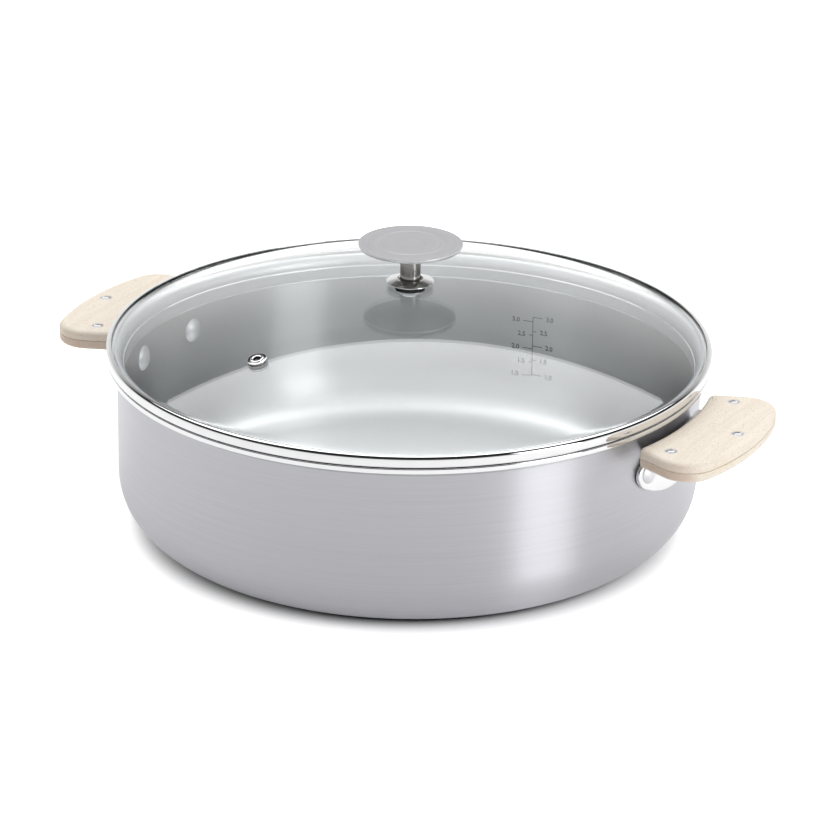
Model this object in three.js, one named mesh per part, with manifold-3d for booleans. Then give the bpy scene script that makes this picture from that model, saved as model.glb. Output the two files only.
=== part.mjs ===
// Low two-handled stainless pan with a domed glass lid, in millimetres, +Z up.
// The pan stands on z = 0 with its axis on the origin, and +X runs out through the right handle.

import * as THREE from 'three';
import { mergeVertices } from 'three/addons/utils/BufferGeometryUtils.js';
import Module from 'manifold-3d';

// Pan body: one clad sheet, thicker in the base, turned out into a pouring lip
const panInnerRadius = 139;
const panWall = 2;
const panHeight = 87;
const baseThickness = 3.5;
const baseCorner = 28.5; // outside radius between base and wall
const lipBend = 2.6; // radius under the lip
const lipOverhang = 4.8; // lip edge beyond the outside of the wall

// Lid rim: a thin pressed channel round the glass, with a skirt that drops inside the pan's mouth
const rimSheet = 0.6;
const rimOverhang = 0.2; // rim beyond the edge of the pan's lip
const rimCorner = 1.2; // outside radius of the channel's two corners
const rimHem = 2.9; // width of the hem over the glass
const skirtDepth = 12.5; // skirt below the top of the pan's lip
const sealThickness = 0.5;

// Lid glass: a dome with a narrow flat edge
const glassThickness = 3.5;
const glassFlat = 1.2; // flat of the glass that shows inside the hem
const domeRise = 29.4;

// Steam vent: an eyelet set through the glass
const ventRadius = 97.9; // from the lid's axis
const ventAzimuth = -107.5; // degrees from +X
const ventBore = 3.5;
const ventTube = 5.6;
const ventFlange = 9.4;
const ventFlare = 7.8; // turned-over lower end
const ventSheet = 0.8; // thickness of the flange and of the flare
const ventWasherDiameter = 9.6;
const ventWasherThickness = 0.6;

// Knob: a disc on a stem that stands in a conical base, all drawn down by one screw
const knobDiameter = 50;
const knobThickness = 1.9;
const knobHeight = 20.7; // top of the glass to the top of the disc
const knobEdgeRound = 0.8;
const stemDiameter = 10;
const spigotDiameter = 5.8; // end of the stem inside the disc
const spigotLength = 1;
const baseDiameter = 22.9;
const baseFoot = 15;
const baseMouth = 12.2;
const baseHeight = 2;
const baseFlare = 0.2; // height at which the base is widest
const baseEdge = 0.5;
const baseFloor = 0.8;
const gasketThickness = 0.5;
const washerDiameter = 15;
const washerThickness = 0.8;
const screwDiameter = 5;
const screwHeadDiameter = 9.5;
const screwHeadHeight = 2.6;
const screwGrip = 12; // length of the screw inside the stem

// Handles: two wood halves closed over a steel tang
const handleGap = 6; // pan wall to wood
const handleTop = 80.6;
const woodThickness = 9.6;
const woodDepth = 35.8;
const woodInnerWidth = 78;
const woodOuterWidth = 103;
const woodBulge = 135; // radius of the outer edge
const woodInnerCorner = 3;
const woodOuterCorner = 17;
const woodEdgeRound = 2.2;
const bracketSheet = 2;
const bracketBend = 3;
const tangInset = 4; // wood edge to tang edge
const tongueWidth = 63.6;
const neckWidth = 53; // where the tongue bends into the tang
const neckRise = 2; // wall rivets to where the tongue starts to narrow
const neckTaper = 5; // height over which it narrows
const tongueDrop = 14.2; // wall rivets to the lowest point of the tongue
const tongueBelly = 57; // radius of the tongue's lower edge
const tongueCorner = 6;

// Rivets
const wallRivetSpacing = 46.8;
const wallRivetHeight = 62.5;
const wallRivetShank = 6;
const wallRivetInnerHead = 12.4;
const wallRivetInnerDome = 2.2;
const wallRivetOuterHead = 10.8;
const wallRivetOuterDome = 1.8;
const gripPairInset = 9.5; // inner edge of the wood to the pair of grip rivets
const gripPairEdge = 10.3; // flared end of the wood to the nearest of the pair
const gripSingleInset = 27.3; // inner edge of the wood to the single grip rivet
const gripRivetHead = 5.7;
const gripRivetShank = 3.8;
const gripRivetHeadDepth = 1.5;
const gripRivetDish = 0.4;

// Clearances
const fitGap = 0.3; // between pieces that meet
const bedGap = 0.15; // between glass, seal and rim
const skirtClearance = 1; // skirt to the inside of the pan

// Facets
const wideSegments = 56;
const knobSegments = 24;
const smallSegments = 16;
const rivetSegments = 12;
const outlineSegments = 4;
const cornerSteps = 6;
const domeSteps = 7;
const smallSteps = 3;

// Derived places
const wallRadius = panInnerRadius + panWall;
const lipRadius = wallRadius + lipOverhang;
const lipCentreRadius = wallRadius + lipBend;
const lipCentreHeight = panHeight - panWall - lipBend;
const innerCorner = baseCorner - panWall;

const rimRadius = lipRadius + rimOverhang;
const rimBottom = panHeight + fitGap;
const webTop = rimBottom + rimSheet;
const glassSeat = webTop + bedGap + sealThickness + bedGap;
const glassEdgeTop = glassSeat + glassThickness;
const rimTop = glassEdgeTop + bedGap + rimSheet;
const sealOuter = rimRadius - rimSheet - bedGap;
const glassRadius = sealOuter - sealThickness - bedGap;
const hemRadius = rimRadius - rimHem;
const skirtRadius = panInnerRadius - skirtClearance;
const rimBend = rimBottom - lipCentreHeight;

const domeStart = hemRadius - glassFlat;
const domeRadius = (domeStart ** 2 + domeRise ** 2) / (2 * domeRise);
const domeTop = glassEdgeTop + domeRise;
const domeCentre = domeTop - domeRadius;
const screwHole = screwDiameter / 2 + fitGap;

const woodInner = wallRadius + handleGap;
const bulgeCentre = woodInner + woodDepth - woodBulge;
const partingHeight = handleTop - woodThickness / 2;
const tongueInner = wallRadius + fitGap;
const tongueOuter = tongueInner + bracketSheet;
const tangBottom = partingHeight - bracketSheet / 2;
const tangTop = partingHeight + bracketSheet / 2;
const neckEnd = woodInner + 2 * tangInset;
const cutMargin = woodThickness; // how far cutting blocks reach past what they cut

const finishes = {
  brushedSteel: { color: 0xb9b9c0, roughness: 0.36, metalness: 1 },
  polishedSteel: { color: 0xdcdce0, roughness: 0.1, metalness: 1 },
  satinSteel: { color: 0xa9a9ae, roughness: 0.42, metalness: 1 },
  beech: { color: 0xe8d9c3, roughness: 0.6, metalness: 0 },
  glass: { color: 0xdfe9e6, roughness: 0.03, metalness: 0, transparent: true, opacity: 0.3 },
  silicone: { color: 0x3a3a3c, roughness: 0.7, metalness: 0 },
};

const wasm = await Module();
wasm.setup();

// One closed, outward-facing surface with shared vertices and no collapsed triangles
function closed(source) {
  const bare = source.clone();
  bare.deleteAttribute('normal');
  bare.deleteAttribute('uv');
  const merged = mergeVertices(bare);
  const corner = merged.getAttribute('position');
  const kept = [];
  let volume = 0;
  const [a, b, c] = [new THREE.Vector3(), new THREE.Vector3(), new THREE.Vector3()];
  for (let i = 0; i < merged.index.count; i += 3) {
    const face = [0, 1, 2].map((k) => merged.index.getX(i + k));
    if (new Set(face).size < 3) continue;
    a.fromBufferAttribute(corner, face[0]);
    b.fromBufferAttribute(corner, face[1]);
    c.fromBufferAttribute(corner, face[2]);
    volume += a.dot(b.cross(c));
    kept.push(face);
  }
  const facing = volume < 0 ? kept.map(([p, q, r]) => [p, r, q]) : kept;
  merged.setIndex(facing.flat());
  return merged;
}

function toSolid(geometry) {
  const whole = closed(geometry);
  const vertProperties = new Float32Array(whole.getAttribute('position').array);
  const triVerts = new Uint32Array(whole.index.array);
  return new wasm.Manifold(new wasm.Mesh({ numProp: 3, vertProperties, triVerts }));
}

function fromSolid(solid) {
  const mesh = solid.getMesh();
  const geometry = new THREE.BufferGeometry();
  geometry.setAttribute('position', new THREE.BufferAttribute(new Float32Array(mesh.vertProperties), 3));
  geometry.setIndex(Array.from(mesh.triVerts));
  return geometry;
}

function mesh(name, geometry, finish) {
  const whole = closed(geometry);
  whole.computeVertexNormals();
  const piece = new THREE.Mesh(whole, new THREE.MeshStandardMaterial(finishes[finish]));
  piece.name = name;
  return piece;
}

// Points [radius, height] on an arc, angles in degrees
function arc(radius, height, size, from, to, steps) {
  const turns = Math.max(1, Math.round(steps));
  return Array.from({ length: turns + 1 }, (_, i) => {
    const angle = THREE.MathUtils.degToRad(from + ((to - from) * i) / turns);
    return [radius + size * Math.cos(angle), height + size * Math.sin(angle)];
  });
}

// Turns a profile of [radius, height] points about the Z axis, closing it unless it ends on the axis
function turned(profile, segments) {
  const onAxis = profile[0][0] === 0 && profile[profile.length - 1][0] === 0;
  const loop = onAxis ? profile : [...profile, profile[0]];
  const points = loop.map(([radius, height]) => new THREE.Vector2(radius, height));
  return new THREE.LatheGeometry(points, segments).rotateX(Math.PI / 2);
}

function ring(inner, outer, bottom, top, segments) {
  return turned([[inner, bottom], [outer, bottom], [outer, top], [inner, top]], segments);
}

function rod(radius, bottom, top, segments) {
  return turned([[0, bottom], [radius, bottom], [radius, top], [0, top]], segments);
}

// Spherical cap points from its rim, at the given height, to its crown on the axis
function cap(rimRadiusOfCap, height, rise) {
  const size = (rimRadiusOfCap ** 2 + rise ** 2) / (2 * Math.abs(rise));
  const side = Math.sign(rise);
  const start = Math.asin(Math.min(1, rimRadiusOfCap / size));
  return Array.from({ length: smallSteps + 1 }, (_, i) => {
    const angle = start * (1 - i / smallSteps);
    const radius = i === smallSteps ? 0 : size * Math.sin(angle);
    return [radius, height + rise - side * size * (1 - Math.cos(angle))];
  });
}

function panProfile() {
  const edge = panWall / 2;
  return [
    [0, 0],
    ...arc(wallRadius - baseCorner, baseCorner, baseCorner, -90, 0, cornerSteps),
    ...arc(lipCentreRadius, lipCentreHeight, lipBend, 180, 90, smallSteps),
    ...arc(lipRadius - edge, panHeight - edge, edge, -90, 90, smallSteps),
    ...arc(lipCentreRadius, lipCentreHeight, lipBend + panWall, 90, 180, smallSteps),
    ...arc(panInnerRadius - innerCorner, baseThickness + innerCorner, innerCorner, 0, -90, cornerSteps),
    [0, baseThickness],
  ];
}

function rimProfile() {
  const bendRadius = skirtRadius + rimBend;
  const cornerRadius = rimRadius - rimCorner;
  const insideCorner = Math.max(rimCorner - rimSheet, bedGap);
  const insideRadius = rimRadius - rimSheet - insideCorner;
  return [
    [skirtRadius, panHeight - skirtDepth],
    ...arc(bendRadius, lipCentreHeight, rimBend, 180, 90, smallSteps),
    ...arc(cornerRadius, rimBottom + rimCorner, rimCorner, -90, 0, 2),
    ...arc(cornerRadius, rimTop - rimCorner, rimCorner, 0, 90, 2),
    [hemRadius, rimTop],
    [hemRadius, rimTop - rimSheet],
    ...arc(insideRadius, rimTop - rimSheet - insideCorner, insideCorner, 90, 0, 2),
    ...arc(insideRadius, webTop + insideCorner, insideCorner, 0, -90, 2),
    ...arc(bendRadius, lipCentreHeight, rimBend + rimSheet, 90, 180, smallSteps),
    [skirtRadius - rimSheet, panHeight - skirtDepth],
  ];
}

// L-section seal under and round the edge of the glass, with its outer corners cleared for the rim's bends
function sealProfile() {
  const bottom = webTop + bedGap;
  const top = bottom + sealThickness;
  const chamfer = Math.max(rimCorner - rimSheet, bedGap);
  return [
    [skirtRadius + rimBend, bottom],
    [sealOuter - chamfer, bottom],
    [sealOuter, bottom + chamfer],
    [sealOuter, glassEdgeTop - chamfer],
    [sealOuter - sealThickness, glassEdgeTop - chamfer],
    [sealOuter - sealThickness, top],
    [skirtRadius + rimBend, top],
  ];
}

// Dome points from the screw hole outwards, on the outer surface or the inner one
function domePoints(size, endRadius) {
  const from = Math.asin(screwHole / size);
  const to = Math.asin(endRadius / size);
  return Array.from({ length: domeSteps + 1 }, (_, i) => {
    const angle = from + ((to - from) * i) / domeSteps;
    return [size * Math.sin(angle), domeCentre + size * Math.cos(angle)];
  });
}

function glassProfile() {
  const innerSize = domeRadius - glassThickness;
  const innerEnd = Math.sqrt(innerSize ** 2 - (glassSeat - domeCentre) ** 2);
  return [
    ...domePoints(domeRadius, domeStart),
    [glassRadius, glassEdgeTop],
    [glassRadius, glassSeat],
    ...domePoints(innerSize, innerEnd).reverse(),
  ];
}

// Group whose Z axis leaves the dome at the vent
function ventPlace() {
  const tilt = Math.asin(ventRadius / domeRadius);
  const azimuth = THREE.MathUtils.degToRad(ventAzimuth);
  const place = new THREE.Group();
  place.rotation.set(0, tilt, azimuth, 'ZYX');
  const height = domeCentre + domeRadius * Math.cos(tilt);
  place.position.set(ventRadius * Math.cos(azimuth), ventRadius * Math.sin(azimuth), height);
  place.updateMatrix();
  return place;
}

function lidGlass(vent) {
  const hole = rod(ventTube / 2 + fitGap, -2 * glassThickness, glassThickness, smallSegments);
  hole.applyMatrix4(vent.matrix);
  return fromSolid(toSolid(turned(glassProfile(), wideSegments)).subtract(toSolid(hole)));
}

function ventPieces(vent) {
  const tube = ventTube / 2;
  const washerTop = -glassThickness - fitGap;
  const washerBottom = washerTop - ventWasherThickness;
  const flareTop = washerBottom - fitGap;
  const flareBottom = flareTop - ventSheet;
  const eyelet = [
    [ventBore / 2, fitGap + ventSheet],
    [ventBore / 2, flareBottom],
    [ventFlare / 2, flareBottom],
    [ventFlare / 2, flareTop],
    [tube, flareTop],
    [tube, fitGap],
    [ventFlange / 2, fitGap],
    [ventFlange / 2 - ventSheet / 2, fitGap + ventSheet],
  ];
  vent.add(mesh('vent_eyelet', turned(eyelet, smallSegments), 'polishedSteel'));
  const washer = ring(tube + fitGap, ventWasherDiameter / 2, washerBottom, washerTop, smallSegments);
  vent.add(mesh('vent_washer', washer, 'silicone'));
  return vent;
}

function knobPieces() {
  const gasketBottom = domeTop + bedGap;
  const gasketTop = gasketBottom + gasketThickness;
  const baseBottom = gasketTop + bedGap;
  const stemBottom = baseBottom + baseFloor + bedGap;
  const discTop = domeTop + knobHeight;
  const discBottom = discTop - knobThickness;
  const stemTop = discBottom - bedGap;
  const glassUnderside = domeCentre + Math.sqrt((domeRadius - glassThickness) ** 2 - (washerDiameter / 2) ** 2);
  const sealBottom = glassUnderside - bedGap - washerThickness;
  const washerBottom = sealBottom - bedGap - washerThickness;
  const headTop = washerBottom - bedGap;

  const disc = [
    [0, discBottom + spigotLength + bedGap],
    [spigotDiameter / 2 + bedGap, discBottom + spigotLength + bedGap],
    [spigotDiameter / 2 + bedGap, discBottom],
    ...arc(knobDiameter / 2 - knobEdgeRound, discBottom + knobEdgeRound, knobEdgeRound, -90, 0, 2),
    ...arc(knobDiameter / 2 - knobEdgeRound, discTop - knobEdgeRound, knobEdgeRound, 0, 90, 2),
    [0, discTop],
  ];
  const boreTop = stemBottom + screwGrip + fitGap;
  const stem = [
    [0, boreTop],
    [screwHole, boreTop],
    [screwHole, stemBottom],
    [stemDiameter / 2, stemBottom],
    [stemDiameter / 2, stemTop],
    [spigotDiameter / 2, stemTop],
    [spigotDiameter / 2, discBottom + spigotLength],
    [0, discBottom + spigotLength],
  ];
  const base = [
    [screwHole, baseBottom],
    [baseFoot / 2, baseBottom],
    [baseDiameter / 2, baseBottom + baseFlare],
    [baseDiameter / 2, baseBottom + baseFlare + baseEdge],
    [baseMouth / 2 + baseEdge, baseBottom + baseHeight],
    [baseMouth / 2, baseBottom + baseHeight],
    [baseMouth / 2, baseBottom + baseFloor],
    [screwHole, baseBottom + baseFloor],
  ];
  const screw = [
    ...cap(screwHeadDiameter / 2, headTop - screwHeadHeight / 2, -screwHeadHeight / 2).reverse(),
    [screwHeadDiameter / 2, headTop],
    [screwDiameter / 2, headTop],
    [screwDiameter / 2, stemBottom + screwGrip],
    [0, stemBottom + screwGrip],
  ];
  const upperGasket = ring(screwHole, baseFoot / 2, gasketBottom, gasketTop, knobSegments);
  const lowerGasket = ring(screwHole, washerDiameter / 2, sealBottom, sealBottom + washerThickness, knobSegments);
  const washer = ring(screwHole, washerDiameter / 2, washerBottom, washerBottom + washerThickness, knobSegments);
  return [
    mesh('knob_disc', turned(disc, 2 * knobSegments), 'satinSteel'),
    mesh('knob_stem', turned(stem, smallSegments), 'satinSteel'),
    mesh('knob_base', turned(base, knobSegments), 'polishedSteel'),
    mesh('knob_gasket', upperGasket, 'silicone'),
    mesh('screw_gasket', lowerGasket, 'silicone'),
    mesh('screw_washer', washer, 'polishedSteel'),
    mesh('knob_screw', turned(screw, smallSegments), 'polishedSteel'),
  ];
}

function lid() {
  const group = new THREE.Group();
  const vent = ventPlace();
  group.add(mesh('lid_glass', lidGlass(vent), 'glass'));
  group.add(mesh('lid_rim', turned(rimProfile(), wideSegments), 'polishedSteel'));
  group.add(mesh('rim_seal', turned(sealProfile(), wideSegments), 'silicone'));
  group.add(ventPieces(vent));
  group.add(...knobPieces());
  return group;
}

// Inner and outer corner of the wood's +Y end before they are rounded, drawn in by inset
function woodEnd(inset) {
  const inner = woodInner + inset;
  const bulge = woodBulge - inset;
  const innerHalf = woodInnerWidth / 2 - inset;
  const outerHalf = woodOuterWidth / 2 - inset;
  return [
    new THREE.Vector2(Math.sqrt(inner ** 2 - innerHalf ** 2), innerHalf),
    new THREE.Vector2(bulgeCentre + Math.sqrt(bulge ** 2 - outerHalf ** 2), outerHalf),
  ];
}

// Plan of a handle's wood on the +X side, drawn in by inset: an arc round the pan, flared ends, a bulged outer edge
function woodOutline(inset) {
  const inner = woodInner + inset;
  const bulge = woodBulge - inset;
  const innerCut = Math.max(woodInnerCorner - inset, fitGap);
  const outerCut = woodOuterCorner - inset;
  const [innerPoint, outerPoint] = woodEnd(inset);
  const along = outerPoint.clone().sub(innerPoint).normalize();
  const endStart = innerPoint.clone().addScaledVector(along, innerCut);
  const endStop = outerPoint.clone().addScaledVector(along, -outerCut);
  const innerAngle = Math.asin(innerPoint.y / inner) - innerCut / inner;
  const outerAngle = Math.asin(outerPoint.y / bulge) - outerCut / bulge;
  const bulgeStart = new THREE.Vector2(bulge * Math.cos(outerAngle), bulge * Math.sin(outerAngle));

  const outline = new THREE.Shape();
  outline.absarc(0, 0, inner, -innerAngle, innerAngle, false);
  outline.quadraticCurveTo(innerPoint.x, innerPoint.y, endStart.x, endStart.y);
  outline.lineTo(endStop.x, endStop.y);
  outline.quadraticCurveTo(outerPoint.x, outerPoint.y, bulgeCentre + bulgeStart.x, bulgeStart.y);
  outline.absarc(bulgeCentre, 0, bulge, outerAngle, -outerAngle, true);
  outline.quadraticCurveTo(outerPoint.x, -outerPoint.y, endStop.x, -endStop.y);
  outline.lineTo(endStart.x, -endStart.y);
  outline.quadraticCurveTo(innerPoint.x, -innerPoint.y, inner * Math.cos(innerAngle), -inner * Math.sin(innerAngle));
  return outline;
}

function slab(outline, bottom, top) {
  const options = { depth: top - bottom, bevelEnabled: false, curveSegments: outlineSegments };
  return new THREE.ExtrudeGeometry(outline, options).translate(0, 0, bottom);
}

function block(low, high) {
  const size = high.clone().sub(low);
  const middle = high.clone().add(low).divideScalar(2);
  return new THREE.BoxGeometry(size.x, size.y, size.z).translate(middle.x, middle.y, middle.z);
}

// Space of the tang inside the wood, grown all round by extra
function tangSpace(extra) {
  const bottom = tangBottom - extra;
  const top = tangTop + extra;
  const half = neckWidth / 2 + extra;
  const neck = block(new THREE.Vector3(panInnerRadius, -half, bottom), new THREE.Vector3(neckEnd, half, top));
  return toSolid(slab(woodOutline(tangInset - extra), bottom, top)).add(toSolid(neck));
}

// Front view of the tongue: a plate with a bellied lower edge, narrowed above to the neck of the tang
function tongueOutline() {
  const half = tongueWidth / 2;
  const bellyCentre = wallRivetHeight - tongueDrop + tongueBelly;
  const side = Math.asin(half / tongueBelly);
  const reach = side - tongueCorner / tongueBelly;
  const corner = bellyCentre - tongueBelly * Math.cos(side);
  const neck = neckWidth / 2;
  const shoulder = wallRivetHeight + neckRise;
  const outline = new THREE.Shape();
  outline.absarc(0, bellyCentre, tongueBelly, -Math.PI / 2 - reach, -Math.PI / 2 + reach, false);
  outline.quadraticCurveTo(half, corner, half, corner + tongueCorner);
  outline.lineTo(half, shoulder);
  outline.lineTo(neck, shoulder + neckTaper);
  outline.lineTo(neck, tangBottom);
  outline.lineTo(-neck, tangBottom);
  outline.lineTo(-neck, shoulder + neckTaper);
  outline.lineTo(-half, shoulder);
  outline.lineTo(-half, corner + tongueCorner);
  const start = outline.getPoint(0);
  outline.quadraticCurveTo(-half, corner, start.x, start.y);
  return outline;
}

// Sheet bent from the wall into the tang, turned about the pan's axis so that it follows the wall
function bentSheet() {
  const bottom = wallRivetHeight - tongueDrop;
  const bendRadius = tongueOuter + bracketBend;
  const bendHeight = tangBottom - bracketBend;
  const reach = woodInner + woodDepth;
  return turned([
    [tongueInner, bottom],
    ...arc(bendRadius, bendHeight, bracketBend + bracketSheet, 180, 90, smallSteps),
    [reach, tangTop],
    [reach, tangBottom],
    ...arc(bendRadius, bendHeight, bracketBend, 90, 180, smallSteps),
    [tongueOuter, bottom],
  ], wideSegments);
}

function wallRivetAngles() {
  const half = Math.asin(wallRivetSpacing / 2 / wallRadius);
  return [['front', -half], ['back', half]];
}

// Lays a piece turned about Z along the radius that leaves the pan's axis at the given angle
function alongRadius(geometry, angle) {
  return geometry.rotateY(Math.PI / 2).rotateZ(angle).translate(0, 0, wallRivetHeight);
}

function wallRivetHole(angle) {
  const radius = wallRivetShank / 2 + fitGap;
  return toSolid(alongRadius(rod(radius, panInnerRadius - cutMargin, tongueOuter + cutMargin, rivetSegments), angle));
}

function wallRivet(angle) {
  const flat = panInnerRadius * Math.cos(Math.PI / wideSegments);
  const innerSeat = Math.sqrt(flat ** 2 - (wallRivetInnerHead / 2) ** 2) - fitGap;
  const outerSeat = tongueOuter + fitGap;
  const profile = [
    ...cap(wallRivetInnerHead / 2, innerSeat, -wallRivetInnerDome).reverse(),
    [wallRivetShank / 2, innerSeat],
    [wallRivetShank / 2, outerSeat],
    ...cap(wallRivetOuterHead / 2, outerSeat, wallRivetOuterDome),
  ];
  return alongRadius(turned(profile, rivetSegments), angle);
}

function gripRivetPlaces() {
  const pairRadius = woodInner + gripPairInset;
  const [innerPoint, outerPoint] = woodEnd(0);
  const share = (pairRadius - innerPoint.x) / (outerPoint.x - innerPoint.x);
  const half = THREE.MathUtils.lerp(innerPoint.y, outerPoint.y, share) - gripPairEdge;
  return [
    ['front', pairRadius, -half],
    ['back', pairRadius, half],
    ['outer', woodInner + gripSingleInset, 0],
  ];
}

// Flush rivet with a dished head at each face of the wood; with extra it is the hole for it
function gripRivet(x, y, extra) {
  const bottom = handleTop - woodThickness;
  const head = gripRivetHead / 2 + extra;
  const shank = gripRivetShank / 2 + extra;
  const shoulder = gripRivetHeadDepth + extra;
  const past = extra > 0 ? cutMargin : 0;
  const dish = extra > 0 ? 0 : gripRivetDish;
  const profile = [
    [0, bottom - past + dish],
    [head, bottom - past],
    [head, bottom + shoulder],
    [shank, bottom + shoulder],
    [shank, handleTop - shoulder],
    [head, handleTop - shoulder],
    [head, handleTop + past],
    [0, handleTop + past - dish],
  ];
  return turned(profile, rivetSegments).translate(x, y, 0);
}

function bracket() {
  const reach = new THREE.Matrix4().makeBasis(
    new THREE.Vector3(0, 1, 0),
    new THREE.Vector3(0, 0, 1),
    new THREE.Vector3(1, 0, 0),
  );
  const tongue = slab(tongueOutline(), panInnerRadius - cutMargin, neckEnd).applyMatrix4(reach);
  let solid = toSolid(bentSheet()).intersect(toSolid(tongue).add(tangSpace(0)));
  for (const [, angle] of wallRivetAngles()) {
    solid = solid.subtract(wallRivetHole(angle));
  }
  for (const [, x, y] of gripRivetPlaces()) {
    const hole = rod(gripRivetShank / 2 + fitGap, tangBottom - cutMargin, tangTop + cutMargin, rivetSegments);
    solid = solid.subtract(toSolid(hole.translate(x, y, 0)));
  }
  return fromSolid(solid);
}

// Upper and lower wood halves, split at the parting plane and let in over the tang
function woodHalves() {
  const bottom = handleTop - woodThickness;
  const whole = new THREE.ExtrudeGeometry(woodOutline(0), {
    depth: woodThickness - 2 * woodEdgeRound,
    bevelThickness: woodEdgeRound,
    bevelSize: woodEdgeRound,
    bevelOffset: -woodEdgeRound,
    bevelSegments: 2,
    curveSegments: outlineSegments,
  }).translate(0, 0, bottom + woodEdgeRound);
  let wood = toSolid(whole).subtract(tangSpace(fitGap));
  for (const [, x, y] of gripRivetPlaces()) {
    wood = wood.subtract(toSolid(gripRivet(x, y, fitGap)));
  }
  const reach = woodInner + woodDepth + cutMargin;
  const upTo = partingHeight + fitGap / 2;
  const downTo = partingHeight - fitGap / 2;
  const below = block(new THREE.Vector3(0, -reach, bottom - cutMargin), new THREE.Vector3(reach, reach, upTo));
  const above = block(new THREE.Vector3(0, -reach, downTo), new THREE.Vector3(reach, reach, handleTop + cutMargin));
  return [
    ['upper', fromSolid(wood.subtract(toSolid(below)))],
    ['lower', fromSolid(wood.subtract(toSolid(above)))],
  ];
}

// One handle on the +X side, turned to its own side of the pan
function handle(side, turn) {
  const group = new THREE.Group();
  group.rotation.z = turn;
  group.add(mesh(`handle_bracket_${side}`, bracket(), 'polishedSteel'));
  for (const [level, geometry] of woodHalves()) {
    group.add(mesh(`handle_wood_${level}_${side}`, geometry, 'beech'));
  }
  for (const [end, x, y] of gripRivetPlaces()) {
    group.add(mesh(`grip_rivet_${end}_${side}`, gripRivet(x, y, 0), 'satinSteel'));
  }
  for (const [end, angle] of wallRivetAngles()) {
    group.add(mesh(`wall_rivet_${end}_${side}`, wallRivet(angle), 'satinSteel'));
  }
  return group;
}

function panBody() {
  let solid = toSolid(turned(panProfile(), wideSegments));
  for (const turn of [0, Math.PI]) {
    for (const [, angle] of wallRivetAngles()) {
      solid = solid.subtract(wallRivetHole(angle + turn));
    }
  }
  return fromSolid(solid);
}

const pan = new THREE.Group();
pan.add(mesh('pan_body', panBody(), 'brushedSteel'));
pan.add(handle('right', 0));
pan.add(handle('left', Math.PI));
pan.add(lid());

export default pan;
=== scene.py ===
import math

import bmesh
import bpy
from mathutils import Matrix, Vector


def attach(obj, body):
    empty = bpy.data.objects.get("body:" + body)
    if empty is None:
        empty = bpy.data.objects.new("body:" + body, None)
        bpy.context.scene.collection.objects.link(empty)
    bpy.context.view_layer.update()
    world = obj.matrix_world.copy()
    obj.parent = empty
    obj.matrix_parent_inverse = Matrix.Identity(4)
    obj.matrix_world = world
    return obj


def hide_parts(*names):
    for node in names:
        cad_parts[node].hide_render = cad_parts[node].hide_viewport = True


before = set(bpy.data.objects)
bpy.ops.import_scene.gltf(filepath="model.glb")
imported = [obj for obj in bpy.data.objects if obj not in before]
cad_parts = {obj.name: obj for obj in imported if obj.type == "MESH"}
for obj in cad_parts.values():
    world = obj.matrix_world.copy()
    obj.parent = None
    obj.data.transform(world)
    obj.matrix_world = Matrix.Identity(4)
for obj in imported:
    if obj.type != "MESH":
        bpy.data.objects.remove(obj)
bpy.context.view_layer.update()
print("frame loaded:", len(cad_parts), "nodes")

mm = 0.001  # pieces are drawn in millimetres and scaled once when they are finished


# Shader maths on sockets: an expression on values adds its Math nodes
class Flow:
    def __init__(self, tree, socket=None):
        self.tree = tree
        self.socket = socket

    # any node: its type, its settings (set first), the values or links of its sockets
    def add(self, kind, settings=None, links=None):
        node = self.tree.nodes.new("ShaderNode" + kind)
        for name, value in (settings or {}).items():
            if name == "stops":
                ramp = node.color_ramp.elements
                while len(ramp) < len(value):
                    ramp.new(0.5)
                for element, (place, colour) in zip(ramp, value):
                    element.position = place
                    element.color = (*colour, 1)
            else:
                setattr(node, name, value)
        for name, value in (links or {}).items():
            if isinstance(name, int):
                target = node.inputs[name]
            else:
                target = next(s for s in node.inputs if s.name == name and s.enabled)
            if isinstance(value, Flow):
                self.tree.links.new(value.socket, target)
            else:
                target.default_value = value
        outputs = [s for s in node.outputs if s.enabled]
        return Flow(self.tree, outputs[0] if outputs else None)

    def pick(self, name):
        return Flow(self.tree, self.socket.node.outputs[name])

    def maths(self, operation, first, second):
        return self.add("Math", {"operation": operation}, {0: first, 1: second})

    def __add__(self, other):
        return self.maths("ADD", self, other)

    def __radd__(self, other):
        return self.maths("ADD", other, self)

    def __sub__(self, other):
        return self.maths("SUBTRACT", self, other)

    def __rsub__(self, other):
        return self.maths("SUBTRACT", other, self)

    def __mul__(self, other):
        return self.maths("MULTIPLY", self, other)

    def __rmul__(self, other):
        return self.maths("MULTIPLY", other, self)

    def __truediv__(self, other):
        return self.maths("DIVIDE", self, other)

    def __pow__(self, other):
        return self.maths("POWER", self, other)

    # 0 below low, 1 above high, smooth between
    def between(self, low, high):
        links = {"Value": self, "From Min": low, "From Max": high}
        return self.add("MapRange", {"interpolation_type": "SMOOTHSTEP"}, links)

    def blendTo(self, other, share):
        return self.add("Mix", {"data_type": "RGBA"}, {"Factor": share, "A": self, "B": other})


def newMaterial(name):
    material = bpy.data.materials.new(name)
    material.use_nodes = True
    material.node_tree.nodes.clear()
    return material, Flow(material.node_tree)


def axesOf(root):
    place = root.add("TexCoord").pick("Object")
    split = root.add("SeparateXYZ", None, {"Vector": place})
    return split.pick("X"), split.pick("Y"), split.pick("Z")


# Noise drawn out by its own scale along each axis; w carries a fourth coordinate
def stretchedNoise(root, x, y, z, w=0.0, detail=2.0):
    vector = root.add("CombineXYZ", None, {"X": x, "Y": y, "Z": z})
    links = {"Vector": vector, "W": w, "Scale": 1.0, "Detail": detail}
    return root.add("TexNoise", {"noise_dimensions": "4D"}, links).pick("Fac")


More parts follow.
